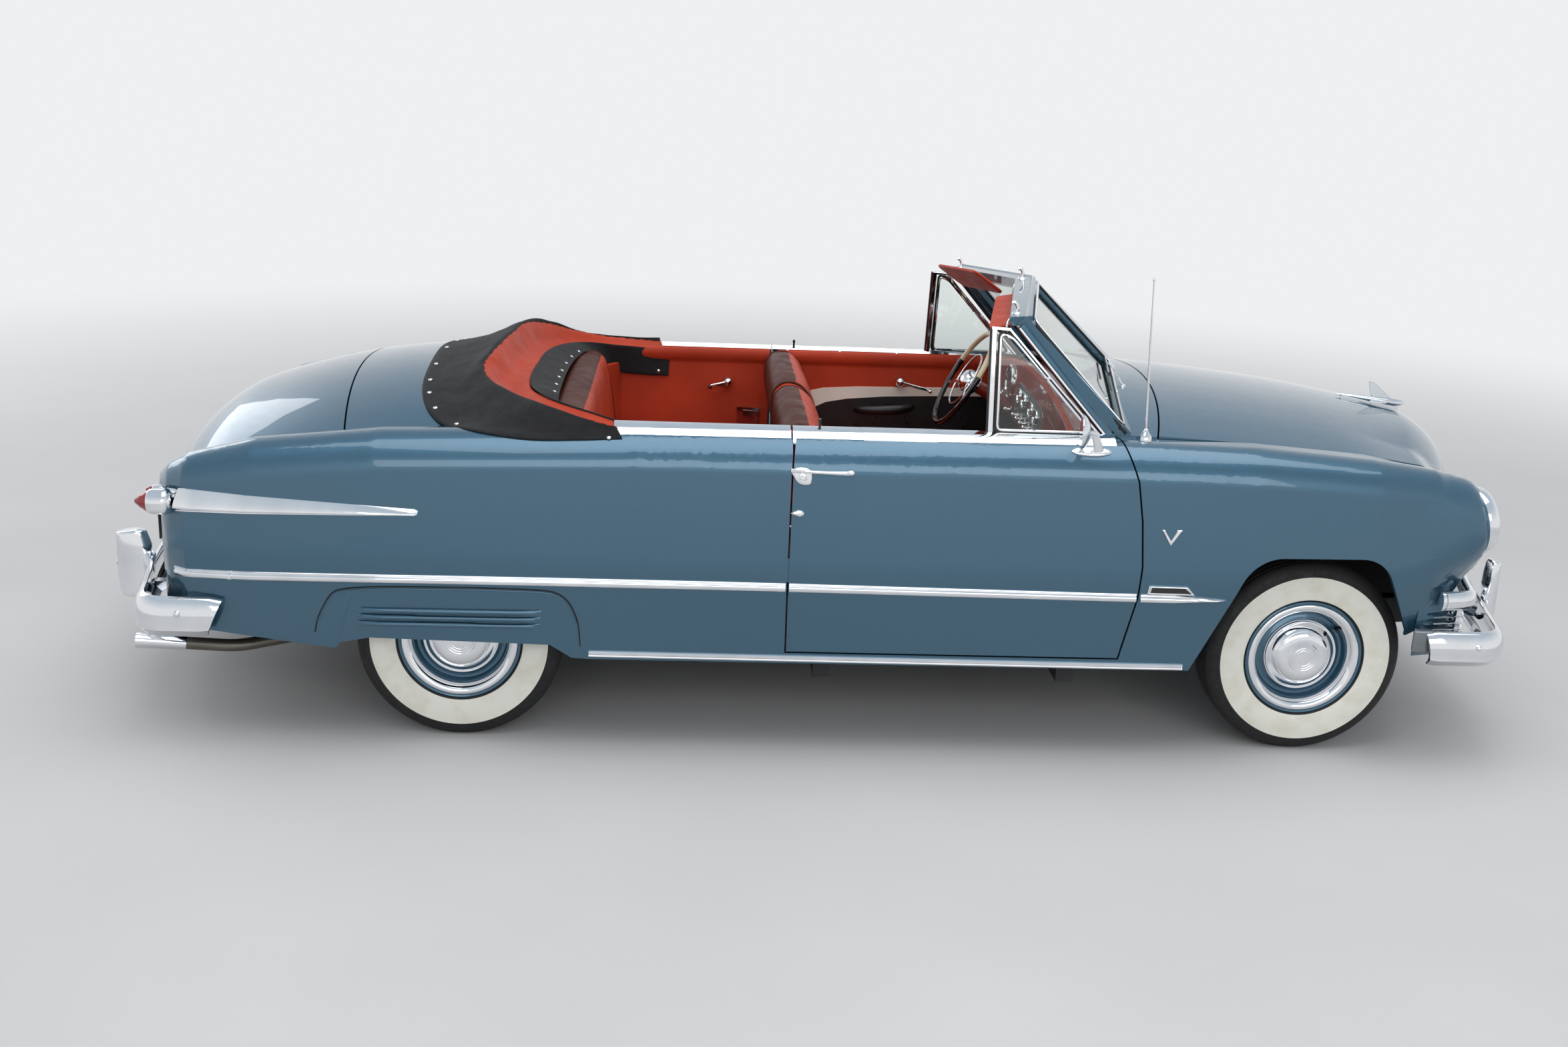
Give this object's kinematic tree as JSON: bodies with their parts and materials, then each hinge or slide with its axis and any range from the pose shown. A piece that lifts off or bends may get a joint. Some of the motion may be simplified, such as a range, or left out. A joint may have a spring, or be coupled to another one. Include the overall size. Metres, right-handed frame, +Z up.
{
  "type": "two-door convertible car",
  "caption": "Slab-sided 1950s convertible car with opening doors, hood and trunk lid, steering and turning wheels, bench seats and a fabric boot over the stowed top.",
  "frame": {"origin": "on the ground under the middle of the car's length and width", "axes": "+X forward, +Y to the car's left, +Z up"},
  "size_m": [4.989, 1.8584, 1.6321],
  "materials": {
    "body_paint": "gloss metallic steel blue",
    "chrome": "polished chrome",
    "headlight": "clear ribbed lens in a chrome ring",
    "red_lens": "red lens in a chrome ring",
    "glass": "clear safety glass",
    "dash_paint": "gloss oxblood paint",
    "red_leather": "terracotta red leather",
    "black_fabric": "black canvas with a red lining",
    "wheel_black": "black moulded plastic",
    "wheel_paint": "steel blue paint with a chrome cap",
    "tyre": "black rubber with a wide white wall",
    "frame_black": "satin black",
    "floor_black": "satin black",
    "engine": "painted casting",
    "exhaust_steel": "aluminised steel",
    "tank_steel": "satin black"
  },
  "bodies": {
    "root": {"antenna": "chrome", "body_mouldings": "chrome", "chassis_frame": "frame_black", "cowl": "body_paint", "dashboard": "dash_paint", "drive_line": "frame_black", "engine_block": "engine", "exhaust": "exhaust_steel", "fender_skirts": "body_paint", "floor_pan": "floor_black", "front_bumper": "chrome", "front_fender_left": "body_paint", "front_fender_right": "body_paint", "front_seat": "red_leather", "front_suspension": "frame_black", "fuel_tank": "tank_steel", "grille": "chrome", "headlights": "headlight", "leaf_springs": "frame_black", "nose_panel": "body_paint", "quarter_panel_left": "body_paint", "quarter_panel_right": "body_paint", "radiator": "floor_black", "rear_bumper": "chrome", "rear_panel": "body_paint", "rear_seat": "red_leather", "steering_column": "dash_paint", "tail_lamps": "red_lens", "tonneau_panel": "body_paint", "top_boot": "black_fabric", "valance": "body_paint", "windshield_frame": "body_paint", "windshield_glass": "glass"},
    "hood": {"hood": "body_paint", "hood_ornament": "chrome"},
    "deck_lid": {"deck_lid": "body_paint", "lid_handle": "chrome"},
    "steering": {"steering_wheel": "wheel_black"},
    "door_right": {"door_right": "body_paint", "door_trim_right": "chrome", "vent_glass_right": "glass"},
    "door_left": {"door_left": "body_paint", "door_trim_left": "chrome", "vent_glass_left": "glass"},
    "knuckle_right": {"knuckle_right": "frame_black"},
    "knuckle_left": {"knuckle_left": "frame_black"},
    "wheel_front_right": {"wheel_front_right": "wheel_paint", "tyre_front_right": "tyre"},
    "wheel_front_left": {"wheel_front_left": "wheel_paint", "tyre_front_left": "tyre"},
    "wheel_rear_right": {"wheel_rear_right": "wheel_paint", "tyre_rear_right": "tyre"},
    "wheel_rear_left": {"wheel_rear_left": "wheel_paint", "tyre_rear_left": "tyre"}
  },
  "joints": [
    {"name": "hood_hinge", "type": "hinge", "parent": "root", "child": "hood", "pos_m": [1.06, 0, 1.215], "axis": [0, -1, 0], "range_deg": [0, 45]},
    {"name": "deck_lid_hinge", "type": "hinge", "parent": "root", "child": "deck_lid", "pos_m": [-1.622, 0, 1.172], "axis": [0, 1, 0], "range_deg": [0, 60]},
    {"name": "door_right_hinge", "type": "hinge", "parent": "root", "child": "door_right", "pos_m": [1.0035, -0.932, 0.7], "axis": [0, 0, 1], "range_deg": [0, 65]},
    {"name": "door_left_hinge", "type": "hinge", "parent": "root", "child": "door_left", "pos_m": [1.0035, 0.932, 0.7], "axis": [0, 0, -1], "range_deg": [0, 65]},
    {"name": "steer_left", "type": "hinge", "parent": "root", "child": "knuckle_left", "pos_m": [1.643, 0.64, 0.343], "axis": [0, 0, 1], "range_deg": [-28, 28]},
    {"name": "steer_right", "type": "hinge", "parent": "root", "child": "knuckle_right", "pos_m": [1.643, -0.64, 0.343], "axis": [0, 0, 1], "range_deg": [-28, 28]},
    {"name": "steering_wheel_turn", "type": "hinge", "parent": "root", "child": "steering", "pos_m": [0.62, 0.36, 1.05], "axis": [-0.8695, 0, 0.4939], "range_deg": [-476, 476]},
    {"name": "front_wheel_right_spin", "type": "hinge", "parent": "knuckle_right", "child": "wheel_front_right", "pos_m": [1.643, -0.711, 0.343], "axis": [0, 1, 0], "continuous": true},
    {"name": "rear_wheel_right_spin", "type": "hinge", "parent": "root", "child": "wheel_rear_right", "pos_m": [-1.253, -0.711, 0.343], "axis": [0, 1, 0], "continuous": true},
    {"name": "front_wheel_left_spin", "type": "hinge", "parent": "knuckle_left", "child": "wheel_front_left", "pos_m": [1.643, 0.711, 0.343], "axis": [0, 1, 0], "continuous": true},
    {"name": "rear_wheel_left_spin", "type": "hinge", "parent": "root", "child": "wheel_rear_left", "pos_m": [-1.253, 0.711, 0.343], "axis": [0, 1, 0], "continuous": true}
  ],
  "couplings": [
    {"joint": "steer_right", "follows": "steer_left", "ratio": 1},
    {"joint": "steering_wheel_turn", "follows": "steer_left", "ratio": 17}
  ]
}
